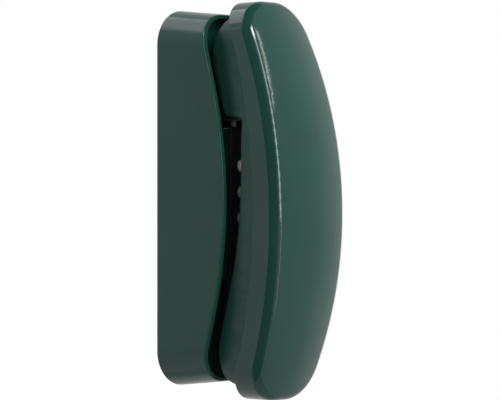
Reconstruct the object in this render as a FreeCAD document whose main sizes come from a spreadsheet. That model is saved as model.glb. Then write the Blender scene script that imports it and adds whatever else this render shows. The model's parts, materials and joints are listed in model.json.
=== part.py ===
import FreeCAD, Part
import math
import os
import re

import Sketcher
from FreeCAD import Rotation, Vector

# A one-piece wall telephone: a push-button base that hangs on two wall screws, and a
# bowed handset that hangs on the base's cradle hook.
# Millimetres. X runs to the right as one faces the telephone, Z is up and the wall is the
# plane Y = 0. "Depth" is the distance out from the wall, so a depth lies at -Y.

# ---------------------------------------------------------------- driving dimensions

SIZES = {
    # base housing
    "base_height": 200.0,
    "base_width": 68.0,
    "base_corner": 19.0,
    "base_side_draft": 1.9,
    "base_end_draft": 5.6,
    "base_loft_depth": 48.0,
    "base_wall": 2.4,
    "rim_apex": 46.5,
    "rim_radius": 230.0,
    "rim_centre_z": -1.5,
    "rim_arc_half": 61.0,
    "rim_width": 2.5,
    "rim_edge": 0.5,
    "recess_floor": 24.0,
    "recess_corner": 16.0,
    "plateau_top": 37.3,
    "plateau_bottom": -42.7,
    "plateau_half_width": 23.7,
    "plateau_corner": 3.0,
    "plateau_wall": 1.8,
    "plateau_front": 41.9,
    "window_top": 24.3,
    "window_bottom": -31.5,
    "mouth_rest_gap": 0.3,
    "mouth_rest_z": -85.0,
    "mouth_rest_height": 9.0,
    "mouth_rest_half_gap": 6.0,
    "rib_wall": 1.6,
    # back plate and its wall fixing
    "plate_thickness": 2.5,
    "plate_clearance": 0.2,
    "stiffener_half_width": 13.4,
    "stiffener_half_height": 35.0,
    "stiffener_height": 2.2,
    "keyhole_half_spacing": 50.0,
    "keyhole_head": 8.4,
    "keyhole_slot": 4.2,
    "keyhole_drop": 8.0,
    "base_screw_x": 24.0,
    "base_screw_z": 84.0,
    "base_boss": 7.0,
    "screw_shank": 2.9,
    "screw_head": 5.6,
    "screw_head_height": 1.5,
    "screw_length": 12.0,
    "screw_clearance": 0.05,
    "head_clearance": 0.3,
    # a screw's cross recess, as shares of its head
    "cross_reach": 0.3,
    "cross_half_width": 0.07,
    "cross_depth": 0.4,
    # keypad
    "bezel_thickness": 1.8,
    "bezel_clearance": 0.3,
    "bezel_ring": 1.2,
    "bezel_edge": 0.6,
    "key_pitch_x": 13.5,
    "key_pitch_z": 13.65,
    "key_row_top": 16.8,
    "key_width": 9.6,
    "key_height": 6.5,
    "key_corner": 3.1,
    "key_edge": 0.7,
    "key_proud": 1.5,
    "key_clearance": 0.25,
    "key_flange": 0.7,
    "key_flange_thickness": 1.0,
    "key_flange_gap": 0.3,
    "key_travel": 1.3,
    "dome_gap": 0.2,
    "dome_height": 2.3,
    "dome_base": 4.2,
    "dome_top": 2.6,
    "mat_thickness": 1.0,
    "board_thickness": 1.6,
    "carrier_thickness": 2.0,
    "cavity_clearance": 0.6,
    "carrier_screw_x": 18.0,
    "carrier_screw_top": 30.2,
    "carrier_screw_bottom": -36.2,
    "carrier_boss": 5.6,
    "small_shank": 2.2,
    "small_head": 4.4,
    "small_head_height": 1.3,
    "small_length": 6.0,
    # cradle hook, its spring and its switch
    "hook_width": 9.6,
    "hook_depth": 30.0,
    "hook_thickness": 2.5,
    "hook_foot_z": -2.0,
    "hook_tongue_thickness": 2.6,
    "hook_reach": 49.6,
    "hook_lip": 1.8,
    "hook_lip_height": 2.7,
    "hook_travel": 4.0,
    "lift_out": 1.0,
    "lift_up": 1.732,
    "hook_clearance": 0.4,
    "handset_seat_gap": 0.3,
    "spring_height": 12.0,
    "spring_diameter": 3.4,
    "spring_wire": 0.5,
    "spring_turns": 6.0,
    "spring_end_gap": 0.2,
    "spring_shelf": 2.0,
    "spring_peg": 1.8,
    "spring_peg_length": 3.0,
    "guide_wall": 1.6,
    "switch_length": 12.0,
    "switch_width": 6.5,
    "switch_depth": 5.6,
    "switch_gap": 1.6,
    "plunger_diameter": 3.0,
    "plunger_clearance": 0.15,
    "plunger_proud": 2.0,
    "plunger_depth": 7.2,
    # main circuit board and what stands on it
    "main_board_depth": 7.0,
    "main_board_half_width": 28.0,
    "main_board_top": 70.0,
    "main_board_bottom": -76.0,
    "main_board_tongue_half_width": 19.0,
    "main_board_tongue_bottom": -95.5,
    "board_screw_x": 23.5,
    "board_screw_top": 62.0,
    "board_screw_bottom": -68.0,
    "board_boss": 6.0,
    "jack_x": 9.5,
    "jack_width": 13.0,
    "jack_height": 12.5,
    "jack_length": 15.0,
    "jack_wall_gap": 0.2,
    "socket_height": 6.8,
    "line_socket_width": 9.8,
    "cord_socket_width": 7.8,
    "socket_length": 11.0,
    "latch_notch_width": 3.2,
    "latch_notch_depth": 1.5,
    "latch_notch_length": 5.5,
    "contact_pitch": 1.02,
    "contact_width": 0.5,
    "contact_start": 3.3,
    "contact_rise": 1.2,
    "contact_sink": 0.3,
    "transformer_x": -13.0,
    "transformer_z": 10.0,
    "transformer_width": 17.0,
    "transformer_height": 14.0,
    "transformer_depth": 12.0,
    "transformer_core_height": 9.3,
    "transformer_coil_width": 8.5,
    "transformer_coil_depth": 10.8,
    "capacitor_x": 12.0,
    "capacitor_z": 20.0,
    "capacitor_diameter": 10.0,
    "capacitor_length": 12.0,
    "capacitor_seat": 8.0,
    "chip_x": 8.0,
    "chip_z": -22.0,
    "chip_width": 7.6,
    "chip_length": 23.0,
    "chip_height": 3.6,
    "chip_leg_pitch": 2.54,
    "chip_leg_width": 0.6,
    "chip_leg_reach": 0.65,
    "lead_seat": 0.6,
    # tone ringer
    "ringer_z": 68.0,
    "ringer_diameter": 31.0,
    "ringer_height": 5.0,
    "ringer_seat": 1.6,
    "ringer_wall": 1.2,
    "ringer_disc_thickness": 0.5,
    "ringer_fit": 0.15,
    "sound_slot_width": 1.8,
    "sound_slot_length": 14.0,
    "sound_slot_corner": 0.88,
    "sound_slot_pitch": 4.5,
    # handset outer shell
    "handset_half_width": 27.3,
    "handset_bow_radius": 1190.0,
    "handset_top": 103.2,
    "handset_bottom": -106.0,
    "handset_corner": 20.0,
    "face_apex": 83.4,
    "face_radius": 211.4,
    "face_centre_z": -8.8,
    "face_crown": 77.3,
    "face_edge": 5.8,
    "seam_edge": 0.4,
    "seam_apex": 62.5,
    "seam_radius": 234.7,
    "seam_centre_z": -6.2,
    "handset_wall": 2.4,
    "lip_height": 2.2,
    "lip_clearance": 0.15,
    # handset inner shell
    "inner_inset": 0.9,
    "inner_top": 98.5,
    "inner_bottom": -99.5,
    "inner_corner": 17.0,
    "cup_slope": 0.325,
    "cup_back": 31.4,
    "cup_back_z": 68.0,
    "cup_round": 26.0,
    "cup_corner_z": 43.0,
    "cup_corner": 5.5,
    "grip_top_z": 40.3,
    "grip_depth": 52.5,
    "grip_arc_z": 10.0,
    "grip_arc_end_z": -46.0,
    "grip_arc_drop": 8.3,
    "mouth_depth": 34.4,
    "mouth_arc_radius": 10.0,
    "mouth_corner": 7.6,
    "inner_edge": 1.8,
    # what the handset holds
    "receiver_z": 58.0,
    "receiver_diameter": 24.0,
    "receiver_height": 9.0,
    "receiver_rim_height": 5.4,
    "receiver_back_diameter": 19.0,
    "collar_height": 5.0,
    "gasket_thickness": 1.2,
    "gasket_width": 3.0,
    "seat_gap": 0.1,
    "ear_dish_radius": 55.0,
    "ear_dish_diameter": 23.0,
    "ear_hole": 1.9,
    "ear_ring": 4.2,
    "mic_z": -84.8,
    "mic_diameter": 9.7,
    "mic_height": 6.7,
    "mic_boot_wall": 1.2,
    "mic_boot_height": 5.4,
    "mic_hole": 1.5,
    "mic_hole_pitch": 2.6,
    "weight_width": 20.0,
    "weight_top": 38.0,
    "weight_bottom": 6.0,
    "weight_height": 10.0,
    "weight_rib_height": 3.4,
    "handset_jack_length": 12.0,
    "handset_jack_width": 11.0,
    "handset_jack_height": 9.4,
    "handset_jack_depth": 46.9,
    "handset_screw_top": 86.0,
    "handset_screw_bottom": -60.0,
    "handset_boss": 6.4,
    "handset_screw_sink": 2.6,
    "handset_screw_length": 14.0,
    # where a cut starts or ends, well clear of the material
    "far_front": 100.0,
    "far_end": 130.0,
}

doc = FreeCAD.newDocument("wall_telephone")
sheet = doc.addObject("Spreadsheet::Sheet", "Sizes")
for row, (alias, amount) in enumerate(SIZES.items(), 1):
    sheet.set("A%d" % row, alias.replace("_", " "))
    sheet.set("B%d" % row, str(amount))
    sheet.setAlias("B%d" % row, alias)
doc.recompute()
PIECES = []


def tied(text):
    """The same expression with each size's name written as a cell of the sheet."""
    return re.sub(r"\b(%s)\b" % "|".join(SIZES), r"Sizes.\1", str(text))


def value(text):
    """What an expression of the sizes comes to now."""
    return float(sheet.evalExpression(tied(text)))


# Expressions that several pieces share.
RIM_SLOPE = "(rim_arc_half/sqrt(rim_radius^2-rim_arc_half^2))"
RIM_TANGENT = "(rim_apex-rim_radius+sqrt(rim_radius^2-rim_arc_half^2))"
BEZEL_FRONT = "(plateau_front+bezel_thickness)"
KEY_FRONT = "(%s+key_travel+key_proud)" % BEZEL_FRONT
FLANGE_REAR = "(plateau_front-key_flange_gap-key_flange_thickness)"
MAT_FRONT = "(%s-dome_gap-dome_height)" % FLANGE_REAR
MAT_REAR = "(%s-mat_thickness)" % MAT_FRONT
KEY_BOARD_REAR = "(%s-board_thickness)" % MAT_REAR
CARRIER_REAR = "(%s-carrier_thickness)" % KEY_BOARD_REAR
PLATEAU_INNER = "(plateau_half_width-plateau_wall)"
CARRIER_TOP = "(plateau_top-plateau_wall-cavity_clearance)"
SHELF_REAR = "(plateau_front-base_wall)"
FLOOR_REAR = "(recess_floor-base_wall)"
BOARD_FRONT = "(main_board_depth+board_thickness)"
SLOPE_LENGTH = "sqrt(1+cup_slope^2)"
CUP_CORNER = "(cup_back+(cup_back_z-cup_corner_z)*cup_slope)"
UNDER_SLOPE = "((cup_corner_z-grip_top_z)/(grip_depth-%s))" % CUP_CORNER
GRIP_ARC = "(((grip_arc_z-grip_arc_end_z)^2+grip_arc_drop^2)/(2*grip_arc_drop))"
RUN_SLOPE = "((grip_arc_z-grip_arc_end_z)/(%s-grip_arc_drop))" % GRIP_ARC
RUN_LENGTH = "sqrt(1+%s^2)" % RUN_SLOPE
ROUND_DEPTH = "(cup_back+cup_round/%s)" % SLOPE_LENGTH
ROUND_Z = "(cup_back_z+cup_round*cup_slope/%s)" % SLOPE_LENGTH
EAR_DISH_REACH = "sqrt(ear_dish_radius^2-(ear_dish_diameter/2)^2)"
LIFT_RUN = "(lift_out/lift_up)"
HOOK_FRONT = "(hook_depth+hook_thickness)"
LIP_REAR = "(hook_reach-hook_lip)"
GUIDE_REAR = "(hook_depth-hook_clearance)"
SPRING_DEPTH = "((%s+%s)/2)" % (GUIDE_REAR, CARRIER_REAR)
PLUNGER_FOOT = "(hook_foot_z+hook_thickness-plunger_proud)"


def under_cup(depth):
    """Height of the ear cup's sloping underside at a depth."""
    return "(cup_corner_z-(%s-%s)*%s)" % (depth, CUP_CORNER, UNDER_SLOPE)


def seam_at(z, ahead="0"):
    """Depth of the seam between the handset's shells at a height."""
    return "(seam_apex-seam_radius+sqrt((seam_radius+%s)^2-(%s-seam_centre_z)^2))" % (ahead, z)


def cup_at(z):
    """Depth of the ear cup's straight back at a height."""
    return "(cup_back+(cup_back_z-(%s))*cup_slope)" % z


# ---------------------------------------------------------------- drawing and features

def origin_plane(body, role):
    for feature in body.Origin.OriginFeatures:
        if feature.Role == role:
            return feature


class Drawing:
    """A sketch on an origin plane of a body, with every point tied to the sizes.

    A front drawing is (x, z) and lies at a depth; a side drawing is (depth, z) and lies at
    an x; a plan drawing is (x, depth) and lies at a height.
    """

    PLANES = {"front": "XZ_Plane", "side": "YZ_Plane", "plan": "XY_Plane"}

    def __init__(self, body, name, view, at="0"):
        self.view = view
        self.sketch = body.newObject("Sketcher::SketchObject", name)
        self.sketch.AttachmentSupport = [(origin_plane(body, self.PLANES[view]), "")]
        self.sketch.MapMode = "FlatFace"
        if at != "0":
            self.sketch.setExpression("AttachmentOffset.Base.z", tied(at))

    def on_plane(self, first, second):
        """The two expressions in the sketch's own directions."""
        if self.view == "side":
            return "-(%s)" % first, "%s" % second
        if self.view == "plan":
            return "%s" % first, "-(%s)" % second
        return "%s" % first, "%s" % second

    def tie(self, constraints, expressions):
        numbers = self.sketch.addConstraint(constraints)
        for number, expression in zip(numbers, expressions):
            if expression:
                self.sketch.setExpression("Constraints[%d]" % number, tied(expression))

    def outline(self, corners, arcs=None):
        """A closed outline. arcs gives {edge: (radius, side)}: the edge leaves the corner of
        that number, and side is +1 where the arc's centre lies to its left."""
        arcs = arcs or {}
        flip = -1 if self.view != "front" else 1
        ties = [self.on_plane(*corner) for corner in corners]
        points = [Vector(value(x), value(z), 0) for x, z in ties]
        edges = []
        ends = []
        radii = []
        first = self.sketch.GeometryCount
        for number, start in enumerate(points):
            end = points[(number + 1) % len(points)]
            if number not in arcs:
                edges.append(Part.LineSegment(start, end))
                ends.append((1, 2))
                continue
            radius, side = arcs[number]
            edges.append(arc_between(start, end, value(radius), side * flip))
            ends.append((1, 2) if side * flip > 0 else (2, 1))
            radii.append((first + number, radius))
        self.sketch.addGeometry(edges, False)
        constraints = []
        expressions = []
        for number, (x, z) in enumerate(ties):
            here = first + number
            after = (number + 1) % len(points)
            constraints.append(Sketcher.Constraint(
                "Coincident", here, ends[number][1], first + after, ends[after][0]))
            expressions.append(None)
            start = ends[number][0]
            constraints.append(Sketcher.Constraint(
                "DistanceX", -1, 1, here, start, points[number].x))
            expressions.append(x)
            constraints.append(Sketcher.Constraint(
                "DistanceY", -1, 1, here, start, points[number].y))
            expressions.append(z)
        for edge, radius in radii:
            constraints.append(Sketcher.Constraint("Radius", edge, value(radius)))
            expressions.append(radius)
        self.tie(constraints, expressions)
        return self

    def box(self, left, right, low, high):
        """A rectangle between two x (or depths) and two heights."""
        return self.outline([(left, low), (right, low), (right, high), (left, high)])

    def rounded(self, left, right, low, high, corner):
        """A rectangle with round corners."""
        near, far = "(%s)+(%s)" % (left, corner), "(%s)-(%s)" % (right, corner)
        lower, upper = "(%s)+(%s)" % (low, corner), "(%s)-(%s)" % (high, corner)
        corners = [(near, low), (far, low), (right, lower), (right, upper),
                   (far, high), (near, high), (left, upper), (left, lower)]
        return self.outline(corners, {edge: (corner, 1) for edge in (1, 3, 5, 7)})

    def across(self, second):
        """A construction line through the drawing, to turn it about."""
        _, height = self.on_plane("0", second)
        line = Part.LineSegment(Vector(0, value(height), 0), Vector(1, value(height), 0))
        number = self.sketch.addGeometry(line, True)
        self.tie([Sketcher.Constraint("Horizontal", number),
                  Sketcher.Constraint("DistanceX", -1, 1, number, 1, 0),
                  Sketcher.Constraint("DistanceX", number, 1, number, 2, 1),
                  Sketcher.Constraint("DistanceY", -1, 1, number, 1, value(height))],
                 [None, None, None, height])
        return self

    def circle(self, x, z, radius):
        x, z = self.on_plane(x, z)
        centre = Vector(value(x), value(z), 0)
        ring = self.sketch.addGeometry(
            Part.Circle(centre, Vector(0, 0, 1), value(radius)), False)
        self.tie([Sketcher.Constraint("DistanceX", -1, 1, ring, 3, centre.x),
                  Sketcher.Constraint("DistanceY", -1, 1, ring, 3, centre.y),
                  Sketcher.Constraint("Radius", ring, value(radius))], [x, z, radius])
        return self


def arc_between(start, end, radius, side):
    """The shorter arc between two points, with its centre to the left where side is 1."""
    middle = (start + end) * 0.5
    along = end - start
    left = Vector(-along.y, along.x, 0).normalize()
    centre = middle + left * side * math.sqrt(radius ** 2 - (along.Length / 2) ** 2)
    angles = [math.atan2((p - centre).y, (p - centre).x) for p in (start, end)]
    if side < 0:
        angles.reverse()
    circle = Part.Circle(centre, Vector(0, 0, 1), radius)
    return Part.ArcOfCircle(circle, angles[0], angles[1])


def new_body(name):
    return doc.addObject("PartDesign::Body", name)


def grow(body, kind, name, drawing, length, through=False, onward=False, taper=None):
    """A pad or pocket of a drawing. onward turns its direction round; through runs it the
    same way to both sides of the drawing."""
    feature = body.newObject("PartDesign::" + kind, name)
    feature.Profile = drawing.sketch
    feature.setExpression("Length", tied(length))
    if through:
        feature.SideType = "Symmetric"
    feature.Reversed = onward
    if taper:
        feature.TaperAngle = taper
    doc.recompute()
    if feature.Shape.isNull() or "Invalid" in feature.State:
        raise ValueError("%s in %s has no shape" % (name, body.Name))
    return feature


def pad(body, name, drawing, length, **how):
    return grow(body, "Pad", name, drawing, length, **how)


def pocket(body, name, drawing, length, **how):
    before = body.Tip.Shape.Volume
    feature = grow(body, "Pocket", name, drawing, length, **how)
    if not feature.Shape.Volume < before - 1e-6:
        raise ValueError("%s in %s cuts nothing" % (name, body.Name))
    return feature


def loft(body, kind, name, drawings):
    feature = body.newObject("PartDesign::" + kind, name)
    feature.Profile = drawings[0].sketch
    feature.Sections = [drawing.sketch for drawing in drawings[1:]]
    feature.Ruled = True
    doc.recompute()
    return feature


def round_edges(body, name, radius, wanted):
    """A fillet on the edges that wanted() picks out."""
    base = body.Tip
    edges = ["Edge%d" % (n + 1) for n, edge in enumerate(base.Shape.Edges) if wanted(edge)]
    feature = body.newObject("PartDesign::Fillet", name)
    feature.Base = (base, edges)
    feature.setExpression("Radius", tied(radius))
    doc.recompute()
    return feature


def along_y(edge):
    """Whether an edge is straight and square to the wall."""
    if edge.Curve.TypeId != "Part::GeomLine":
        return False
    run = edge.Vertexes[-1].Point - edge.Vertexes[0].Point
    return abs(run.y) > 0.99 * run.Length


def placed(kind, name, base, turn=None, **sizes):
    """A Part primitive with its sizes and its place tied to the sheet."""
    solid = doc.addObject("Part::" + kind, name)
    for key, text in sizes.items():
        solid.setExpression(key, tied(text))
    for axis, text in zip("xyz", base):
        solid.setExpression("Placement.Base." + axis, tied(text))
    if turn:
        solid.Placement = FreeCAD.Placement(solid.Placement.Base, turn)
    return solid


OUTWARD = Rotation(Vector(1, 0, 0), 90)


def peg(name, x, z, rear, front, radius):
    """A cylinder square to the wall, from one depth to another."""
    return placed("Cylinder", name, (x, "-(%s)" % rear, z), OUTWARD,
                  Radius=radius, Height="(%s)-(%s)" % (front, rear))


def block(name, left, right, rear, front, low, high):
    """A box between two x, two depths and two heights."""
    return placed("Box", name, (left, "-(%s)" % front, low),
                  Length="(%s)-(%s)" % (right, left),
                  Width="(%s)-(%s)" % (front, rear),
                  Height="(%s)-(%s)" % (high, low))


def fuse(name, *shapes):
    joined = doc.addObject("Part::MultiFuse", name)
    joined.Shapes = list(shapes)
    return joined


def cut(name, base, *tools):
    rest = doc.addObject("Part::Cut", name)
    rest.Base = base
    rest.Tool = tools[0] if len(tools) == 1 else fuse(name + "_cuts", *tools)
    return rest


def common(name, one, other):
    both = doc.addObject("Part::Common", name)
    both.Base = one
    both.Tool = other
    return both


def group(name, *solids):
    """Several solids of one node, side by side."""
    several = doc.addObject("Part::Compound", name)
    several.Links = list(solids)
    return several


def piece(name, made):
    """Counts an object as a sub-part of the telephone, under its own name."""
    made.Label = name
    PIECES.append(made)
    return made


# ---------------------------------------------------------------- the base

def base_section(body, name, depth, inset):
    """The base's outline at a depth: its sides and ends lean in as it leaves the wall."""
    half_width = "(base_width/2-base_side_draft*(%s)/base_loft_depth-(%s))" % (depth, inset)
    half_height = "(base_height/2-base_end_draft*(%s)/base_loft_depth-(%s))" % (depth, inset)
    drawing = Drawing(body, name, "front", depth)
    return drawing.rounded("-" + half_width, half_width, "-" + half_height, half_height,
                           "(base_corner-(%s))" % inset)


def base_bosses(body, name, screws, radius, rear):
    """Bosses from the recess floor back to a depth, each with its pilot hole."""
    drawing = Drawing(body, name + "_drawing", "front", rear)
    for x, z in screws:
        drawing.circle(x, z, radius)
    pad(body, name, drawing, "%s-(%s)+base_wall/2" % (FLOOR_REAR, rear))
    pilots = Drawing(body, name + "_pilot_drawing", "front", rear)
    for x, z in screws:
        pilots.circle(x, z, "screw_shank/2+screw_clearance")
    pocket(body, name + "_pilots", pilots, "screw_length", onward=True)


BASE_SCREWS = [("-base_screw_x", "base_screw_z"), ("base_screw_x", "base_screw_z"),
               ("-base_screw_x", "-base_screw_z"), ("base_screw_x", "-base_screw_z")]
BOARD_SCREWS = [("-board_screw_x", "board_screw_top"), ("board_screw_x", "board_screw_top"),
                ("-board_screw_x", "board_screw_bottom"), ("board_screw_x", "board_screw_bottom")]
CARRIER_SCREWS = [("-carrier_screw_x", "carrier_screw_top"),
                  ("carrier_screw_x", "carrier_screw_top"),
                  ("-carrier_screw_x", "carrier_screw_bottom"),
                  ("carrier_screw_x", "carrier_screw_bottom")]


def rim_depth(z):
    """Depth of the base's rim at a height: an arc in the middle and tangents beyond it."""
    away = abs(z - value("rim_centre_z"))
    half = value("rim_arc_half")
    if away > half:
        return value(RIM_TANGENT) - (away - half) * value(RIM_SLOPE)
    radius = value("rim_radius")
    return value("rim_apex") - radius + math.sqrt(radius ** 2 - away ** 2)


def on_rim(edge):
    """Whether an edge runs round the rim, and not across it where its arc ends."""
    heights = [v.Point.z for v in edge.Vertexes]
    tangents = [value("rim_centre_z") + side * value("rim_arc_half") for side in (-1, 1)]
    if any(all(abs(z - tangent) < 1e-3 for z in heights) for tangent in tangents):
        return False
    return all(abs(-v.Point.y - rim_depth(v.Point.z)) < 1e-3 for v in edge.Vertexes)


def base_housing():
    body = new_body("base_housing")
    loft(body, "AdditiveLoft", "housing_block",
         [base_section(body, "housing_rear", "0", "0"),
          base_section(body, "housing_front", "base_loft_depth", "0")])
    # The rim bows outward in the middle and runs straight down to both ends.
    upper, lower = "(rim_centre_z+rim_arc_half)", "(rim_centre_z-rim_arc_half)"
    rim = Drawing(body, "rim_drawing", "side")
    rim.outline([("far_front", "-far_end"), ("far_front", "far_end"),
                 ("%s-(far_end-%s)*%s" % (RIM_TANGENT, upper, RIM_SLOPE), "far_end"),
                 (RIM_TANGENT, upper), (RIM_TANGENT, lower),
                 ("%s-(far_end+%s)*%s" % (RIM_TANGENT, lower, RIM_SLOPE), "-far_end")],
                {3: ("rim_radius", -1)})
    pocket(body, "rim", rim, "2*base_width", through=True)
    round_edges(body, "rim_outer_edge", "rim_edge", on_rim)
    # The recess takes the handset's ear cup and mouth end, with the keypad's plateau between.
    half_width = "(base_width/2-base_side_draft*rim_apex/base_loft_depth-rim_width)"
    half_height = "(base_height/2-base_end_draft*recess_floor/base_loft_depth-rim_width)"
    recess = Drawing(body, "recess_drawing", "front", "far_front")
    recess.rounded("-" + half_width, half_width, "-" + half_height, half_height, "recess_corner")
    recess.rounded("-plateau_half_width", "plateau_half_width", "plateau_bottom",
                   "plateau_top", "plateau_corner")
    pocket(body, "recess", recess, "far_front-recess_floor")
    top = Drawing(body, "plateau_drawing", "front", "far_front")
    margin = "(%s+plateau_half_width)/2" % half_width
    top.box("-" + margin, margin, "plateau_bottom-rim_width", "plateau_top+rim_width")
    pocket(body, "plateau", top, "far_front-plateau_front")
    # The back is open, and the plateau is hollow up to the shelves at its two ends.
    loft(body, "SubtractiveLoft", "hollow",
         [base_section(body, "hollow_rear", "0", "base_wall"),
          base_section(body, "hollow_front", FLOOR_REAR, "base_wall")])
    cavity = Drawing(body, "cavity_drawing", "front")
    cavity.box("-" + PLATEAU_INNER, PLATEAU_INNER, "plateau_bottom+plateau_wall",
               "plateau_top-plateau_wall")
    pocket(body, "keypad_cavity", cavity, SHELF_REAR, onward=True)
    window = Drawing(body, "window_drawing", "front", "far_front")
    window.box("-" + PLATEAU_INNER, PLATEAU_INNER, "window_bottom", "window_top")
    pocket(body, "keypad_window", window, "far_front-%s+base_wall" % SHELF_REAR)
    base_bosses(body, "plate_bosses", BASE_SCREWS, "base_boss/2", "plate_thickness")
    base_bosses(body, "board_bosses", BOARD_SCREWS, "board_boss/2", BOARD_FRONT)
    shelf_bosses = Drawing(body, "carrier_boss_drawing", "front", KEY_BOARD_REAR)
    for x, z in CARRIER_SCREWS:
        shelf_bosses.circle(x, z, "carrier_boss/2")
    pad(body, "carrier_bosses", shelf_bosses, "plateau_front-%s-base_wall/2" % KEY_BOARD_REAR)
    pilots = Drawing(body, "carrier_pilot_drawing", "front", KEY_BOARD_REAR)
    for x, z in CARRIER_SCREWS:
        pilots.circle(x, z, "small_shank/2+screw_clearance")
    pocket(body, "carrier_pilots", pilots, "small_length-carrier_thickness+key_flange_gap",
           onward=True)
    # Two ribs in the lower recess carry the mouth end.
    rests = Drawing(body, "rest_drawing", "front", "recess_floor-base_wall/2")
    low, high = "mouth_rest_z-mouth_rest_height/2", "mouth_rest_z+mouth_rest_height/2"
    near, far = "mouth_rest_half_gap", "mouth_rest_half_gap+rib_wall"
    rests.box(near, far, low, high)
    rests.box("-(%s)" % far, "-" + near, low, high)
    pad(body, "mouth_rests", rests, "mouth_depth-mouth_rest_gap-recess_floor+base_wall/2")
    # The hook comes up through the plateau's top wall.
    hook_hole = Drawing(body, "hook_hole_drawing", "plan", "plateau_top-2*plateau_wall")
    side = "(hook_width/2+hook_clearance)"
    hook_hole.box("-" + side, side, "hook_depth-hook_clearance", HOOK_FRONT + "+hook_clearance")
    pocket(body, "hook_hole", hook_hole, "4*plateau_wall", onward=True)
    # Sound slots over the ringer, and a collar that holds it.
    slots = Drawing(body, "slot_drawing", "front", "far_front")
    for number in range(-2, 3):
        x = "%d*sound_slot_pitch" % number
        length = "(sound_slot_length-%d*sound_slot_width)" % (2 * abs(number))
        slots.rounded(x + "-sound_slot_width/2", x + "+sound_slot_width/2",
                      "ringer_z-%s/2" % length, "ringer_z+%s/2" % length,
                      "sound_slot_corner")
    pocket(body, "sound_slots", slots, "far_front-%s+base_wall/2" % FLOOR_REAR)
    collar = Drawing(body, "collar_drawing", "front", FLOOR_REAR + "-ringer_seat-rib_wall")
    collar.circle("0", "ringer_z", "ringer_diameter/2+ringer_fit+rib_wall")
    collar.circle("0", "ringer_z", "ringer_diameter/2+ringer_fit")
    pad(body, "ringer_collar", collar, "ringer_seat+rib_wall+base_wall/2")
    # Both sockets open through the bottom end.
    for side, width in (("-", "line_socket_width"), ("", "cord_socket_width")):
        name = width.split("_")[0]
        opening = Drawing(body, name + "_opening_drawing", "plan", "-far_end")
        opening.box("%sjack_x-%s/2" % (side, width), "%sjack_x+%s/2" % (side, width),
                    "%s+(jack_height-socket_height)/2" % BOARD_FRONT,
                    "%s+(jack_height+socket_height)/2" % BOARD_FRONT)
        pocket(body, name + "_opening", opening, "far_end-base_height/2+4*base_wall",
               onward=True)
    return piece("base_housing", body)


def back_plate():
    body = new_body("back_plate")
    inset = "base_wall+plate_clearance"
    loft(body, "AdditiveLoft", "plate",
         [base_section(body, "plate_rear", "0", inset),
          base_section(body, "plate_front", "plate_thickness", inset)])
    holes = Drawing(body, "screw_hole_drawing", "front")
    for x, z in BASE_SCREWS:
        holes.circle(x, z, "screw_shank/2+head_clearance")
    pocket(body, "screw_holes", holes, "plate_thickness", onward=True)
    sinks = Drawing(body, "screw_sink_drawing", "front")
    for x, z in BASE_SCREWS:
        sinks.circle(x, z, "screw_head/2+head_clearance")
    pocket(body, "screw_sinks", sinks, "screw_head_height", onward=True)
    # Two keyholes, one above the other: the head goes in below and the shank slides up.
    for name, z in (("upper", "keyhole_half_spacing"), ("lower", "-keyhole_half_spacing")):
        slot = Drawing(body, name + "_keyhole_drawing", "front")
        half, reach = "keyhole_slot/2", "(keyhole_head/2)"
        meet = "sqrt(%s^2-(%s)^2)" % (reach, half)
        slot.outline([(half, "%s+%s" % (z, meet)), (half, "%s+keyhole_drop" % z),
                      ("-" + half, "%s+keyhole_drop" % z), ("-" + half, "%s+%s" % (z, meet)),
                      ("-" + reach, z), ("0", "%s-%s" % (z, reach)), (reach, z)],
                     {1: (half + "*1.001", 1), 3: (reach, 1), 4: (reach, 1), 5: (reach, 1),
                      6: (reach, 1)})
        pocket(body, name + "_keyhole", slot, "plate_thickness", onward=True)
    # A stiffening frame stands on the plate's inner face, clear of the keyholes.
    frame = Drawing(body, "stiffener_drawing", "front", "plate_thickness")
    frame.box("-stiffener_half_width", "stiffener_half_width",
              "-stiffener_half_height", "stiffener_half_height")
    frame.box("-stiffener_half_width+rib_wall", "stiffener_half_width-rib_wall",
              "-stiffener_half_height+rib_wall", "stiffener_half_height-rib_wall")
    pad(body, "stiffener", frame, "stiffener_height")
    return piece("back_plate", body)


def screw(name, x, z, head, head_height, shank, length, head_rear):
    """A pan-head screw driven toward the front, with a cross recess."""
    top = "(%s)+(%s)" % (head_rear, head_height)
    whole = fuse(name + "_blank",
                 peg(name + "_head", x, z, head_rear, top, "%s/2" % head),
                 peg(name + "_shank", x, z, top, "%s+(%s)" % (top, length), "%s/2" % shank))
    arm, half = "(%s*cross_reach)" % head, "(%s*cross_half_width)" % head
    bottom = "(%s)+(%s)*cross_depth" % (head_rear, head_height)
    across = block(name + "_slot_across", "%s-%s" % (x, arm), "%s+%s" % (x, arm),
                   head_rear, bottom, "%s-%s" % (z, half), "%s+%s" % (z, half))
    upright = block(name + "_slot_upright", "%s-%s" % (x, half), "%s+%s" % (x, half),
                    head_rear, bottom, "%s-%s" % (z, arm), "%s+%s" % (z, arm))
    return cut(name, whole, across, upright)


def screws(name, places, head, head_height, shank, length, head_rear):
    made = [screw("%s_%d" % (name, n), x, z, head, head_height, shank, length, head_rear)
            for n, (x, z) in enumerate(places, 1)]
    return piece(name, group(name, *made))


def base_fasteners():
    screws("base_screws", BASE_SCREWS, "screw_head", "screw_head_height*0.8", "screw_shank",
           "screw_length-screw_head_height", "screw_head_height*0.2")
    screws("board_screws", BOARD_SCREWS, "screw_head", "screw_head_height", "screw_shank",
           "screw_length-screw_head_height", "main_board_depth-screw_head_height")
    screws("carrier_screws", CARRIER_SCREWS, "small_head", "small_head_height", "small_shank",
           "small_length-key_flange_gap", "%s-small_head_height" % CARRIER_REAR)


# ---------------------------------------------------------------- the keypad

KEY_NAMES = ["key_1", "key_2", "key_3", "key_4", "key_5", "key_6",
             "key_7", "key_8", "key_9", "key_star", "key_0", "key_hash"]


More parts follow.
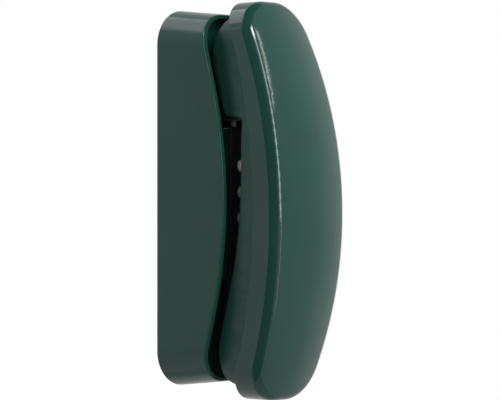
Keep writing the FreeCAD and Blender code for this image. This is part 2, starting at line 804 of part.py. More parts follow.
def key_place(number):
    """Centre of a key, counted along the rows from the top left."""
    return ("%d*key_pitch_x" % (number % 3 - 1),
            "(key_row_top-%d*key_pitch_z)" % (number // 3))


def key_outline(drawing, x, z, margin):
    half_width = "(key_width/2+%s)" % margin
    half_height = "(key_height/2+%s)" % margin
    drawing.rounded("%s-%s" % (x, half_width), "%s+%s" % (x, half_width),
                    "%s-%s" % (z, half_height), "%s+%s" % (z, half_height),
                    "(key_corner+%s)" % margin)


def keypad_bezel():
    body = new_body("keypad_bezel")
    plate = Drawing(body, "bezel_drawing", "front", "plateau_front")
    half = "(plateau_half_width-bezel_clearance)"
    plate.rounded("-" + half, half, "plateau_bottom+bezel_clearance",
                  "plateau_top-bezel_clearance", "plateau_corner-bezel_clearance")
    pad(body, "plate", plate, "bezel_thickness")
    front = -value(BEZEL_FRONT)
    round_edges(body, "soft_edge", "bezel_edge",
                lambda edge: all(abs(v.Point.y - front) < 1e-4 for v in edge.Vertexes))
    # Two bars behind the plate drop into the window, above and below the keys.
    bars = Drawing(body, "bar_drawing", "front", "plateau_front-bezel_ring")
    side = "(%s-bezel_clearance)" % PLATEAU_INNER
    bars.box("-" + side, side, "window_top-bezel_clearance-bezel_ring",
             "window_top-bezel_clearance")
    bars.box("-" + side, side, "window_bottom+bezel_clearance",
             "window_bottom+bezel_clearance+bezel_ring")
    pad(body, "bars", bars, "bezel_ring+bezel_thickness/2")
    for number, name in enumerate(KEY_NAMES):
        hole = Drawing(body, name + "_hole_drawing", "front", BEZEL_FRONT)
        key_outline(hole, *key_place(number), "key_clearance")
        pocket(body, name + "_hole", hole, "bezel_thickness")
    return piece("keypad_bezel", body)


def key(number):
    name = KEY_NAMES[number]
    x, z = key_place(number)
    body = new_body(name)
    cap = Drawing(body, name + "_cap_drawing", "front", FLANGE_REAR)
    key_outline(cap, x, z, "0")
    pad(body, name + "_cap", cap, "%s-%s" % (KEY_FRONT, FLANGE_REAR))
    flange = Drawing(body, name + "_flange_drawing", "front", FLANGE_REAR)
    key_outline(flange, x, z, "key_flange")
    pad(body, name + "_flange", flange, "key_flange_thickness")
    front = -value(KEY_FRONT)
    round_edges(body, name + "_edge", "key_edge",
                lambda edge: all(abs(v.Point.y - front) < 1e-4 for v in edge.Vertexes))
    return piece(name, body)


def key_mat():
    body = new_body("key_mat")
    sheet_of_rubber = Drawing(body, "mat_drawing", "front", MAT_REAR)
    side = "(%s-cavity_clearance)" % PLATEAU_INNER
    sheet_of_rubber.box("-" + side, side, "window_bottom+cavity_clearance",
                        "window_top-cavity_clearance")
    pad(body, "mat", sheet_of_rubber, "mat_thickness")
    # A dome under each key: a wide foot and a narrower button.
    for name, radius, height in (("feet", "dome_base", "dome_height/2"),
                                 ("buttons", "dome_top", "dome_height")):
        domes = Drawing(body, name + "_drawing", "front", MAT_FRONT + "-mat_thickness/2")
        for number in range(len(KEY_NAMES)):
            domes.circle(*key_place(number), radius)
        pad(body, name, domes, height + "+mat_thickness/2")
    return piece("key_mat", body)


def keypad_board():
    body = new_body("keypad_board")
    board = Drawing(body, "board_drawing", "front", KEY_BOARD_REAR)
    side = "(%s-cavity_clearance)" % PLATEAU_INNER
    board.box("-" + side, side, "window_bottom+cavity_clearance",
              "window_top-cavity_clearance")
    pad(body, "board", board, "board_thickness")
    return piece("keypad_board", body)


def keypad_carrier():
    """The moulding behind the keypad, screwed to the housing, that guides the hook."""
    body = new_body("keypad_carrier")
    plate = Drawing(body, "carrier_drawing", "front", CARRIER_REAR)
    side = "(%s-cavity_clearance)" % PLATEAU_INNER
    plate.box("-" + side, side, "plateau_bottom+plateau_wall+cavity_clearance", CARRIER_TOP)
    pad(body, "plate", plate, "carrier_thickness")
    holes = Drawing(body, "carrier_hole_drawing", "front", CARRIER_REAR)
    for x, z in CARRIER_SCREWS:
        holes.circle(x, z, "small_shank/2+screw_clearance")
    pocket(body, "screw_holes", holes, "carrier_thickness", onward=True)
    # Guide walls on both sides of the hook, with a back wall that closes the channel.
    near = "(hook_width/2+hook_clearance)"
    far = "(%s+guide_wall)" % near
    low = "hook_foot_z-spring_height-spring_shelf"
    rear = "(%s-guide_wall)" % GUIDE_REAR
    front = CARRIER_REAR + "+carrier_thickness/2"
    guide = Drawing(body, "guide_drawing", "plan", low)
    guide.outline([("-" + far, rear), (far, rear), (far, front), (near, front),
                   (near, GUIDE_REAR), ("-" + near, GUIDE_REAR), ("-" + near, front),
                   ("-" + far, front)])
    pad(body, "hook_guide", guide, "%s-(%s)" % (CARRIER_TOP, low))
    # The spring stands on the channel's closed foot.
    foot = Drawing(body, "foot_drawing", "plan", low)
    foot.box("-" + far, far, rear, front)
    pad(body, "spring_shelf", foot, "spring_shelf")
    # A slot in the right-hand guide wall lets the hook's arm through.
    slot = Drawing(body, "arm_slot_drawing", "side", far + "+guide_wall")
    slot.box(rear + "-guide_wall", CARRIER_REAR, "hook_foot_z-hook_clearance",
             "hook_foot_z+3*hook_thickness+hook_travel")
    pocket(body, "arm_slot", slot, "2*guide_wall+hook_clearance/2")
    return piece("keypad_carrier", body)


# ---------------------------------------------------------------- the cradle hook

def cradle_hook():
    body = new_body("cradle_hook")
    under = "%s-hook_tongue_thickness-handset_seat_gap" % under_cup(LIP_REAR)
    rise_depth = "(%s+1.5*hook_thickness)" % CUP_CORNER
    profile = Drawing(body, "hook_drawing", "side")
    profile.outline([
        ("hook_depth", "hook_foot_z"), (HOOK_FRONT, "hook_foot_z"), (HOOK_FRONT, under),
        ("hook_reach", under), ("hook_reach", "%s+hook_lip_height" % under_cup(LIP_REAR)),
        (LIP_REAR, "%s+hook_lip_height" % under_cup(LIP_REAR)),
        (LIP_REAR, "%s-handset_seat_gap" % under_cup(LIP_REAR)),
        (rise_depth, "%s-handset_seat_gap" % under_cup(rise_depth)),
        ("%s-hook_thickness/2" % CUP_CORNER, "%s+hook_tongue_thickness" % under),
        ("hook_depth", "%s+hook_tongue_thickness" % under)])
    pad(body, "hook", profile, "hook_width", through=True)
    # An arm on the right presses the switch's plunger.
    arm = Drawing(body, "arm_drawing", "front", "hook_depth")
    arm.box("0", "hook_width/2+guide_wall+switch_gap+switch_width",
            "hook_foot_z+hook_thickness", "hook_foot_z+2*hook_thickness")
    pad(body, "arm", arm, "hook_thickness")
    # A peg under the foot centres the spring.
    pin = Drawing(body, "peg_drawing", "plan", "hook_foot_z+hook_thickness/2")
    pin.circle("0", SPRING_DEPTH, "spring_peg/2")
    pad(body, "spring_peg", pin, "hook_thickness/2+spring_peg_length", onward=True)
    return piece("cradle_hook", body)


def switch_x():
    return "(hook_width/2+hook_clearance+guide_wall+switch_gap+switch_width/2)"


def hook_switch():
    body = new_body("hook_switch")
    case = Drawing(body, "switch_drawing", "plan", PLUNGER_FOOT + "-switch_length")
    x = switch_x()
    case.box("%s-switch_width/2" % x, "%s+switch_width/2" % x,
             "%s-switch_depth" % CARRIER_REAR, CARRIER_REAR)
    pad(body, "case", case, "switch_length")
    bore = Drawing(body, "bore_drawing", "plan", PLUNGER_FOOT)
    bore.circle(x, "hook_depth+hook_thickness/2", "plunger_diameter/2+plunger_clearance")
    pocket(body, "bore", bore, "plunger_depth+plunger_proud")
    piece("hook_switch", body)
    plunger = placed("Cylinder", "switch_plunger",
                     (x, "-(hook_depth+hook_thickness/2)", PLUNGER_FOOT + "-plunger_depth"),
                     Radius="plunger_diameter/2", Height="plunger_proud+plunger_depth")
    piece("switch_plunger", plunger)


def hook_spring():
    """A close coil between the channel's foot and the hook."""
    coil = doc.addObject("Part::Helix", "spring_line")
    coil.setExpression("Radius", tied("(spring_diameter-spring_wire)/2"))
    coil.setExpression("Height", tied("spring_height-spring_wire-2*spring_end_gap"))
    coil.setExpression("Pitch", tied("(spring_height-spring_wire-2*spring_end_gap)/spring_turns"))
    wire = doc.addObject("Part::Circle", "spring_wire_section")
    wire.setExpression("Radius", tied("spring_wire/2"))
    wire.setExpression("Placement.Base.x", tied("(spring_diameter-spring_wire)/2"))
    wire.Placement = FreeCAD.Placement(wire.Placement.Base, OUTWARD)
    swept = doc.addObject("Part::Sweep", "hook_spring")
    swept.Sections = [wire]
    swept.Spine = (coil, ["Edge1"])
    swept.Solid = True
    swept.Frenet = True
    for axis, text in (("y", "-" + SPRING_DEPTH),
                       ("z", "hook_foot_z-spring_height+spring_wire/2+spring_end_gap")):
        swept.setExpression("Placement.Base." + axis, tied(text))
    return piece("hook_spring", swept)


# ---------------------------------------------------------------- boards, jacks, ringer

def main_board():
    body = new_body("main_board")
    board = Drawing(body, "main_board_drawing", "front", "main_board_depth")
    wide, narrow = "main_board_half_width", "main_board_tongue_half_width"
    board.outline([("-" + wide, "main_board_top"), ("-" + wide, "main_board_bottom"),
                   ("-" + narrow, "main_board_bottom"),
                   ("-" + narrow, "main_board_tongue_bottom"),
                   (narrow, "main_board_tongue_bottom"), (narrow, "main_board_bottom"),
                   (wide, "main_board_bottom"), (wide, "main_board_top")])
    pad(body, "board", board, "board_thickness")
    holes = Drawing(body, "main_hole_drawing", "front", "main_board_depth")
    for x, z in BOARD_SCREWS:
        holes.circle(x, z, "screw_shank/2+screw_clearance")
    pocket(body, "holes", holes, "board_thickness", onward=True)
    return piece("main_board", body)


def contacts(name, x, middle, low):
    """The four wires on the front wall of a socket that opens downward."""
    wall = "%s+socket_height/2" % middle
    wires = []
    for number in range(4):
        centre = "%s+%s*contact_pitch" % (x, number - 1.5)
        wires.append(block("%s_contact_%d" % (name, number), centre + "-contact_width/2",
                           centre + "+contact_width/2", wall + "-contact_rise",
                           wall + "+contact_sink", low + "+contact_start",
                           low + "+socket_length+contact_width"))
    return wires


def jack(name, x, width):
    """A modular socket that opens downward, with its latch notch and four contacts."""
    front = "(%s+jack_height)" % BOARD_FRONT
    end = "(base_height/2-base_end_draft*%s/base_loft_depth-base_wall-jack_wall_gap)" % front
    middle = "(%s+jack_height/2)" % BOARD_FRONT
    case = block(name + "_case", "%s-jack_width/2" % x, "%s+jack_width/2" % x,
                 BOARD_FRONT, front, "-" + end, "jack_length-" + end)
    mouth = block(name + "_mouth", "%s-%s/2" % (x, width), "%s+%s/2" % (x, width),
                  "%s-socket_height/2" % middle, "%s+socket_height/2" % middle,
                  "-far_end", "socket_length-" + end)
    notch = block(name + "_notch", x + "-latch_notch_width/2", x + "+latch_notch_width/2",
                  "%s-socket_height/2-latch_notch_depth" % middle, middle, "-far_end",
                  "latch_notch_length-" + end)
    body = cut(name + "_body", case, mouth, notch)
    return piece(name, fuse(name, body, *contacts(name, x, middle, "-" + end)))


def board_parts():
    rear = BOARD_FRONT
    core = block("transformer_core", "transformer_x-transformer_width/2",
                 "transformer_x+transformer_width/2", rear, rear + "+transformer_depth",
                 "transformer_z-transformer_core_height/2",
                 "transformer_z+transformer_core_height/2")
    coil = block("transformer_coil", "transformer_x-transformer_coil_width/2",
                 "transformer_x+transformer_coil_width/2", rear,
                 rear + "+transformer_coil_depth", "transformer_z-transformer_height/2",
                 "transformer_z+transformer_height/2")
    piece("line_transformer", fuse("line_transformer", core, coil))
    can = peg("capacitor_can", "capacitor_x", "capacitor_z", rear + "+lead_seat",
              rear + "+capacitor_length", "capacitor_diameter/2")
    seat = peg("capacitor_seat", "capacitor_x", "capacitor_z", rear, rear + "+lead_seat",
               "capacitor_seat/2")
    piece("line_capacitor", fuse("line_capacitor", can, seat))
    case = block("chip_case", "chip_x-chip_width/2", "chip_x+chip_width/2",
                 rear + "+lead_seat", rear + "+chip_height", "chip_z-chip_length/2",
                 "chip_z+chip_length/2")
    legs = []
    for row in range(9):
        z = "chip_z+%s*chip_leg_pitch" % (row - 4)
        for side, sign in (("left", "-"), ("right", "+")):
            edge = "chip_x%schip_width/2" % sign
            near, far = sorted((edge, edge + sign + "chip_leg_reach"), key=value)
            legs.append(block("chip_leg_%s_%d" % (side, row), near, far, rear,
                              rear + "+chip_height/2", z + "-chip_leg_width/2",
                              z + "+chip_leg_width/2"))
    piece("dialling_chip", fuse("dialling_chip", case, *legs))


def tone_ringer():
    """A piezo sounder that sits in the collar behind the sound slots."""
    front = FLOOR_REAR
    case = peg("ringer_cup", "0", "ringer_z", "%s-ringer_height" % front, front,
               "ringer_diameter/2")
    floor = "%s-ringer_height+ringer_wall" % front
    room = peg("ringer_room", "0", "ringer_z", floor, front, "ringer_diameter/2-ringer_wall")
    piece("ringer_case", cut("ringer_case_cup", case, room))
    disc = peg("ringer_disc_plate", "0", "ringer_z", floor, floor + "+ringer_disc_thickness",
               "ringer_diameter/2-ringer_wall-screw_clearance")
    piece("ringer_disc", disc)


# ---------------------------------------------------------------- the handset's shells

def bowed_outline(body, name, depth, inset, top, bottom):
    """The handset's front outline: long sides that bow a little, between flat ends."""
    radius = "(handset_bow_radius-(%s))" % inset

    def half_width(z):
        return ("(handset_half_width-(%s)-%s+sqrt(%s^2-(%s)^2))" % (inset, radius, radius, z))

    drawing = Drawing(body, name, "front", depth)
    drawing.outline([("-" + half_width(bottom), bottom), (half_width(bottom), bottom),
                     (half_width(top), top), ("-" + half_width(top), top)],
                    {1: (radius, 1), 3: (radius, 1)})
    return drawing


def bowed_block(name, inset, top, bottom, corner, rear, front):
    """A block with the handset's outline between two depths."""
    body = new_body(name)
    drawing = bowed_outline(body, name + "_drawing", rear, inset, top, bottom)
    pad(body, name + "_block", drawing, "(%s)-(%s)" % (front, rear))
    round_edges(body, name + "_corners", corner, along_y)
    return body


def trim_behind(body, name, ahead):
    """Takes away what lies behind the seam's curve."""
    drawing = Drawing(body, name + "_drawing", "side")
    drawing.outline([("-far_front", "-far_end"), ("-far_front", "far_end"),
                     (seam_at("far_end", ahead), "far_end"),
                     (seam_at("-far_end", ahead), "-far_end")],
                    {2: ("(seam_radius+%s)" % ahead, -1)})
    return pocket(body, name, drawing, "4*handset_half_width", through=True)


def on_seam(edge):
    """Whether an edge lies on the seam's curve."""
    seam = value("seam_radius")
    centre_y, centre_z = value("seam_radius-seam_apex"), value("seam_centre_z")
    return all(abs(math.hypot(v.Point.y - centre_y, v.Point.z - centre_z) - seam) < 1e-3
               for v in edge.Vertexes)


def trim_ahead(body, name, curve, radius):
    """Takes away what lies ahead of a curve."""
    drawing = Drawing(body, name + "_drawing", "side")
    drawing.outline([("2*far_front", "-far_end"), ("2*far_front", "far_end"),
                     (curve("far_end"), "far_end"), (curve("-far_end"), "-far_end")],
                    {2: (radius, -1)})
    return pocket(body, name, drawing, "4*handset_half_width", through=True)


def crown_face(body, name, inset):
    """Takes away what lies ahead of the handset's face, which is crowned from side to side
    and bowed from end to end: a shallow arc turned about a far axis across the handset."""
    edge, radius = "(2*handset_half_width)", "(face_crown-%s)" % inset
    depth = "(face_apex-%s-%s+sqrt(%s^2-%s^2))" % (inset, radius, radius, edge)
    drawing = Drawing(body, name + "_drawing", "plan", "face_centre_z")
    drawing.outline([(edge, depth), (edge, "2*far_front"), ("-" + edge, "2*far_front"),
                     ("-" + edge, depth)], {3: (radius, -1)})
    drawing.across("face_apex-face_radius")
    feature = body.newObject("PartDesign::Groove", name)
    feature.Profile = drawing.sketch
    feature.ReferenceAxis = (drawing.sketch, ["Axis0"])
    feature.Midplane = True
    feature.Angle = 120
    doc.recompute()
    return feature


def face_form(name, inset, rear):
    """The handset's face side, solid, or smaller all round by an inset."""
    body = bowed_block(name, inset, "(handset_top-%s)" % inset,
                       "(handset_bottom+%s)" % inset, "handset_corner-%s" % inset,
                       rear, "far_front")
    crown_face(body, name + "_face", inset)
    crown = value("face_crown-%s" % inset)
    axis_y, axis_z = value("face_radius-face_apex"), value("face_centre_z")
    middle = value("face_radius-face_crown")

    def on_face(edge):
        return all(abs(math.hypot(v.Point.y - axis_y, v.Point.z - axis_z) - middle
                       - math.sqrt(crown ** 2 - v.Point.x ** 2)) < 1e-3
                   for v in edge.Vertexes)

    round_edges(body, name + "_edge", "face_edge-%s" % inset, on_face)
    return body


def handset_outer_shell():
    outside = face_form("outer_form", "0", "recess_floor")
    trim_behind(outside, "outer_seam", "0")
    round_edges(outside, "seam_edge", "seam_edge", on_seam)
    inside = face_form("outer_hollow", "handset_wall", "recess_floor-base_wall")
    shell = cut("outer_open", outside, inside)
    # The bosses reach halfway into the wall.
    reach = face_form("boss_reach", "handset_wall/2", "recess_floor-base_wall")
    bosses = []
    for name, z in (("top", "handset_screw_top"), ("bottom", "handset_screw_bottom")):
        seat = "(%s+handset_wall+lip_clearance)" % screw_seat(z)
        post = peg("boss_%s" % name, "0", z, seat, "far_front", "handset_boss/2")
        bosses.append(cut("boss_%s_bored" % name, common("boss_%s_post" % name, post, reach),
                          peg("boss_%s_pilot" % name, "0", z, seat,
                              seat + "+handset_screw_length",
                              "screw_shank/2+screw_clearance")))
    socket = handset_socket("outer_socket", "lip_clearance")
    whole = cut("outer_shell", fuse("outer_bossed", shell, *bosses), socket)
    return piece("handset_outer_shell", whole)


def handset_socket(name, margin):
    """The opening for the cord's plug through the bottom end."""
    middle = "handset_jack_depth"
    return block(name, "-cord_socket_width/2-%s" % margin, "cord_socket_width/2+%s" % margin,
                 "%s-socket_height/2-%s" % (middle, margin),
                 "%s+socket_height/2+%s" % (middle, margin), "-far_end",
                 "handset_bottom+socket_length")


def tub_profile(body, name, inset):
    """The inner shell from the side, or smaller all round by an inset."""
    centre_depth, centre_z = ROUND_DEPTH, ROUND_Z
    round_radius = "(cup_round-%s)" % inset
    top, bottom = "(inner_top-%s)" % inset, "(inner_bottom+%s)" % inset
    shift = "(%s*%s)" % (inset, SLOPE_LENGTH)
    under_shift = "(%s*sqrt(1+%s^2))" % (inset, UNDER_SLOPE)
    tangent_depth = "(cup_back+%s/%s)" % (inset, SLOPE_LENGTH)
    tangent_z = "(cup_back_z+%s*cup_slope/%s)" % (inset, SLOPE_LENGTH)
    # corner of the cup's back and its underside, both moved in by the inset
    corner_z = "(cup_corner_z+(%s+%s*%s)/(1-cup_slope*%s))" % (
        under_shift, "(-%s)" % shift, UNDER_SLOPE, UNDER_SLOPE)
    corner_depth = "(%s-(%s-cup_corner_z)*cup_slope+%s)" % (CUP_CORNER, corner_z, shift)
    grip = "(grip_depth+%s)" % inset
    grip_z = "(grip_top_z+%s-%s*%s)" % (under_shift, inset, UNDER_SLOPE)
    # the grip curves down into a straight run, which meets the mouth's flat in an arc
    along = "(%s/%s)" % (inset, RUN_LENGTH)
    low_z = "(grip_arc_end_z-(grip_depth-grip_arc_drop-mouth_depth)/%s)" % RUN_SLOPE
    reach = "(mouth_arc_radius*(%s-1)/%s)" % (RUN_LENGTH, RUN_SLOPE)
    corner = "(mouth_corner-%s*0.8)" % inset
    drawing = Drawing(body, name, "side")
    drawing.outline([
        ("far_front", top),
        ("%s-sqrt(%s^2-(%s-%s)^2)" % (centre_depth, round_radius, top, centre_z), top),
        (tangent_depth, tangent_z),
        (corner_depth, corner_z),
        (grip, grip_z),
        (grip, "grip_arc_z"),
        ("grip_depth-grip_arc_drop+" + along, "grip_arc_end_z-%s*%s" % (RUN_SLOPE, along)),
        ("mouth_depth+%s*%s/%s+%s" % (reach, RUN_SLOPE, RUN_LENGTH, along),
         "%s+%s/%s-%s*%s" % (low_z, reach, RUN_LENGTH, RUN_SLOPE, along)),
        ("mouth_depth+" + inset, "%s-%s" % (low_z, reach)),
        ("mouth_depth+" + inset, "%s+%s" % (bottom, corner)),
        ("mouth_depth+%s+%s" % (inset, corner), bottom),
        ("far_front", bottom)],
        {1: (round_radius, 1), 5: ("(%s+%s)" % (GRIP_ARC, inset), -1),
         7: ("(mouth_arc_radius-%s)" % inset, 1), 9: (corner, 1)})
    return drawing


def inner_form(name, inset):
    """The inner shell's cup, grip and mouth end, solid, or smaller by an inset."""
    body = bowed_block(name, "(inner_inset+%s)" % inset, "(inner_top-%s)" % inset,
                       "(inner_bottom+%s)" % inset, "inner_corner-%s" % inset, "0",
                       "far_front")
    side = tub_profile(body, name + "_side_drawing", inset)
    side.box("-far_front", "2*far_front", "-far_end", "far_end")
    pocket(body, name + "_side", side, "4*handset_half_width", through=True)
    return body


def screw_seat(z):
    """Depth at which a handset screw's head seats, sunk below the inner shell's face."""
    if z == "handset_screw_top":
        face = "(%s-sqrt(cup_round^2-(%s-%s)^2))" % (ROUND_DEPTH, z, ROUND_Z)
    else:
        face = "(grip_depth-grip_arc_drop-(grip_arc_end_z-%s)*%s)" % (z, RUN_SLOPE)
    return "(%s+handset_screw_sink)" % face


def across_ear(name, rear, front, radius):
    """A cylinder square to the sloping ear face, between two distances in from it."""
    lean = Rotation(Vector(0, 0, 1), Vector(0, -1, value("cup_slope")))
    return placed("Cylinder", name, ear_point(rear), lean, Radius=radius,
                  Height="(%s)-(%s)" % (front, rear))


def ear_point(inward):
    """A point on the ear piece's axis, at a distance in from the cup's outer face."""
    return ("0", "-(%s+(%s)/%s)" % (cup_at("receiver_z"), inward, SLOPE_LENGTH),
            "receiver_z+(%s)*cup_slope/%s" % (inward, SLOPE_LENGTH))


def ear_holes():
    """The pattern of holes in the ear dish: one in the middle and two rings."""
    middle = cup_at("receiver_z")
    made = []
    for ring, count in ((0, 1), (1, 6), (2, 12)):
        for n in range(count):
            angle = 2 * math.pi * n / count
            x = "%.6f*ear_ring" % (ring * math.cos(angle))
            z = "(receiver_z+%.6f*ear_ring)" % (ring * math.sin(angle))
            made.append(peg("ear_hole_%d_%d" % (ring, n), x, z,
                            middle + "-ear_dish_diameter/2", middle + "+ear_dish_diameter/2",
                            "ear_hole/2"))
    return made


def hook_pocket():
    """The slot in the ear cup's underside that the hook's lip goes up into."""
    half_width = "(hook_width/2+hook_clearance)"
    return block("hook_pocket", "-" + half_width, half_width,
                 LIP_REAR + "-hook_lip_height*%s-hook_clearance" % LIFT_RUN,
                 "hook_reach+hook_clearance", under_cup("far_front"),
                 "%s+hook_lip_height+hook_clearance" % under_cup(LIP_REAR))


def inner_tub():
    """The inner shell's outside, solid, with its edges rounded."""
    tub = inner_form("inner_form", "0")
    trim_ahead(tub, "inner_seam", seam_at, "seam_radius")
    corner_depth, corner_z = value(CUP_CORNER), value("cup_corner_z")
    round_edges(tub, "cup_corner", "cup_corner",
                lambda edge: all(math.hypot(v.Point.y + corner_depth, v.Point.z - corner_z) < 1e-3
                                 for v in edge.Vertexes))
    round_edges(tub, "soft_edge", "inner_edge", is_back_edge)
    return tub


def is_back_edge(edge):
    """An edge between the inner shell's side walls and its back."""
    box = edge.BoundBox
    if box.XMin < 0 < box.XMax or along_y(edge):
        return False
    return not on_seam(edge)


def handset_inner_shell():
    tub = inner_tub()
    inset = "(handset_wall+lip_clearance)"
    lip = bowed_block("lip_form", inset, "(handset_top-%s)" % inset,
                      "(handset_bottom+%s)" % inset, "handset_corner-%s" % inset, "0",
                      "far_front")
    trim_behind(lip, "lip_rear", "0")
    trim_ahead(lip, "lip_front", lambda z: seam_at(z, "lip_height"),
               "(seam_radius+lip_height)")
    hollow = inner_form("inner_hollow", "handset_wall")
    shell = cut("inner_open", fuse("inner_lipped", tub, lip), hollow)
    # collars for the receiver and the microphone's boot, seats for two screws, weight ribs
    wall = "handset_wall/2"
    ear_bore = "(receiver_diameter/2+lip_clearance)"
    ear_collar = cut("ear_collar",
                     across_ear("ear_collar_outside", wall, "handset_wall+collar_height",
                                ear_bore + "+rib_wall"),
                     across_ear("ear_collar_bore", "0", "2*receiver_height", ear_bore))
    mic_bore = "(mic_diameter/2+mic_boot_wall+lip_clearance)"
    mic_collar = cut("mic_collar",
                     peg("mic_collar_outside", "0", "mic_z", "mouth_depth+" + wall,
                         "mouth_depth+handset_wall+collar_height", mic_bore + "+rib_wall"),
                     peg("mic_collar_bore", "0", "mic_z", "mouth_depth",
                         "mouth_depth+2*mic_height", mic_bore))
    added = [ear_collar, mic_collar]
    taken = [hook_pocket(), handset_socket_room()]
    for name, z in (("top", "handset_screw_top"), ("bottom", "handset_screw_bottom")):
        seat = screw_seat(z)
        sink = "(screw_head/2+head_clearance)"
        added.append(peg("seat_%s" % name, "0", z, "0", seat + "+handset_wall",
                         sink + "+rib_wall"))
        taken.append(peg("sink_%s" % name, "0", z, "0", seat, sink))
        taken.append(peg("clear_%s" % name, "0", z, "0", seat + "+2*handset_wall",
                         "screw_shank/2+head_clearance"))
    for name, side in (("left", "-"), ("right", "")):
        rib = "weight_width/2+lip_clearance"
        near, far = sorted((side + "(%s)" % rib, side + "(%s+rib_wall)" % rib), key=value)
        added.append(block("weight_rib_" + name, near, far, "grip_depth+" + wall,
                           "grip_depth+handset_wall+weight_rib_height", "weight_bottom",
                           "weight_top"))
    inside = common("inner_fittings", fuse("inner_added", *added), inner_envelope())
    dish = placed("Sphere", "ear_dish", ear_point("-" + EAR_DISH_REACH),
                  Radius="ear_dish_radius")
    taken += [dish] + ear_holes()
    for number in (-1, 0, 1):
        taken.append(peg("mic_hole_%d" % (number + 2), "%d*mic_hole_pitch" % number, "mic_z",
                         "0", "mouth_depth+2*handset_wall", "mic_hole/2"))
    whole = cut("inner_shell", fuse("inner_fitted", shell, inside), *taken)
    return piece("handset_inner_shell", whole)


def inner_envelope():
    """The inner shell's outside carried on ahead of the seam."""
    return inner_form("inner_envelope", "handset_wall/4")


def handset_socket_room():
    """Room for the handset's socket in the inner shell's lip."""
    margin = "lip_clearance"
    low, high, rear, front = handset_jack_box()
    return block("socket_room", "-handset_jack_width/2-" + margin,
                 "handset_jack_width/2+" + margin, rear + "-" + margin, "far_front",
                 "-far_end", high + "+" + margin)


def handset_jack_box():
    """Low and high end, rear and front depth of the handset's socket."""
    low = "(handset_bottom+handset_wall+lip_height/4)"
    return (low, "(%s+handset_jack_length)" % low,
            "(handset_jack_depth-handset_jack_height/2)",
            "(handset_jack_depth+handset_jack_height/2)")


def handset_contents():
    rear = "(handset_wall+seat_gap)"
    ring = cut("gasket_ring",
               across_ear("gasket_outside", rear, rear + "+gasket_thickness",
                          "receiver_diameter/2"),
               across_ear("gasket_hole", "0", "receiver_height",
                          "receiver_diameter/2-gasket_width"))
    piece("receiver_gasket", ring)
    seat = "(%s+gasket_thickness)" % rear
    capsule = fuse("receiver",
                   across_ear("receiver_front", seat, seat + "+receiver_rim_height",
                              "receiver_diameter/2"),
                   across_ear("receiver_back", seat + "+receiver_rim_height/2",
                              seat + "+receiver_height", "receiver_back_diameter/2"))
    piece("receiver_capsule", capsule)
    boot_rear = "(mouth_depth+handset_wall+seat_gap)"
    mic_rear = "(%s+mic_boot_wall)" % boot_rear
    outside = peg("boot_outside", "0", "mic_z", boot_rear, mic_rear + "+mic_boot_height",
                  "mic_diameter/2+mic_boot_wall")
    room = peg("boot_room", "0", "mic_z", mic_rear, mic_rear + "+2*mic_height",
               "mic_diameter/2+screw_clearance")
    mouth = peg("boot_mouth", "0", "mic_z", "0", mic_rear + "+mic_height",
                "mic_diameter/2-mic_boot_wall")
    piece("microphone_boot", cut("boot", outside, room, mouth))
    piece("microphone_capsule", peg("microphone_can", "0", "mic_z", mic_rear,
                                    mic_rear + "+mic_height", "mic_diameter/2"))
    weight_rear = "grip_depth+handset_wall+seat_gap"
    piece("handset_weight",
          block("weight_bar", "-weight_width/2", "weight_width/2", weight_rear,
                weight_rear + "+weight_height", "weight_bottom", "weight_top"))
    low, high, rear, front = handset_jack_box()
    case = block("handset_jack_case", "-handset_jack_width/2", "handset_jack_width/2", rear,
                 front, low, high)
    mouth = block("handset_jack_mouth", "-cord_socket_width/2", "cord_socket_width/2",
                  "handset_jack_depth-socket_height/2", "handset_jack_depth+socket_height/2",
                  "-far_end", low + "+socket_length")
    wires = contacts("handset_jack", "0", "handset_jack_depth", low)
    piece("handset_jack", fuse("handset_socket_block",
                               cut("handset_jack_body", case, mouth), *wires))
    made = [screw("handset_screw_%s" % name, "0", z, "screw_head", "screw_head_height",
                  "screw_shank", "handset_screw_length", screw_seat(z) + "-screw_head_height")
            for name, z in (("top", "handset_screw_top"), ("bottom", "handset_screw_bottom"))]
    piece("handset_screws", group("handset_screws", *made))


def build():
    base_housing()
    back_plate()
    base_fasteners()
    keypad_bezel()
    for number in range(len(KEY_NAMES)):
        key(number)
    key_mat()
    keypad_board()
    keypad_carrier()
    cradle_hook()
    hook_switch()
    hook_spring()
    main_board()
    jack("line_jack", "-jack_x", "line_socket_width")
    jack("cord_jack", "jack_x", "cord_socket_width")
    board_parts()
    tone_ringer()
    handset_outer_shell()
    handset_inner_shell()
    handset_contents()


def write():
    doc.recompute()
    for made in doc.Objects:
        if "Invalid" in made.State or "Error" in made.State:
            raise ValueError("%s failed: %s" % (made.Name, made.State))
    for made in PIECES:
        shape = made.Shape
        if shape.isNull() or not shape.isValid() or not shape.Solids:
            raise ValueError("%s has no valid solid" % made.Label)
    os.makedirs("parts", exist_ok=True)
    for made in PIECES:
        made.Shape.exportStep("parts/%s.step" % made.Label)
        print("%-22s %d solids %10.1f mm3" % (made.Label, len(made.Shape.Solids),
                                               made.Shape.Volume))


build()
write()
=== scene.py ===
import json
import math

import bmesh
import bpy
from mathutils import Matrix, Quaternion, Vector


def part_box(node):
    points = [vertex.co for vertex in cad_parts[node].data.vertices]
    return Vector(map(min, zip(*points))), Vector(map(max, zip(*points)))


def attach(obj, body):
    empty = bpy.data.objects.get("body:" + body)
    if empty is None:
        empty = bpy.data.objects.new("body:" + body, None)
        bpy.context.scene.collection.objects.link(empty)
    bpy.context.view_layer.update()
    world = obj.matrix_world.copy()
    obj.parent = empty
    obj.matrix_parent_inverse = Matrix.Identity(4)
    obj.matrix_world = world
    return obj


# A dark green push-button wall telephone. Metres, in the telephone's own frame: X to the
# right as one faces it, -Y out from the wall, Z up.

MM = 0.001

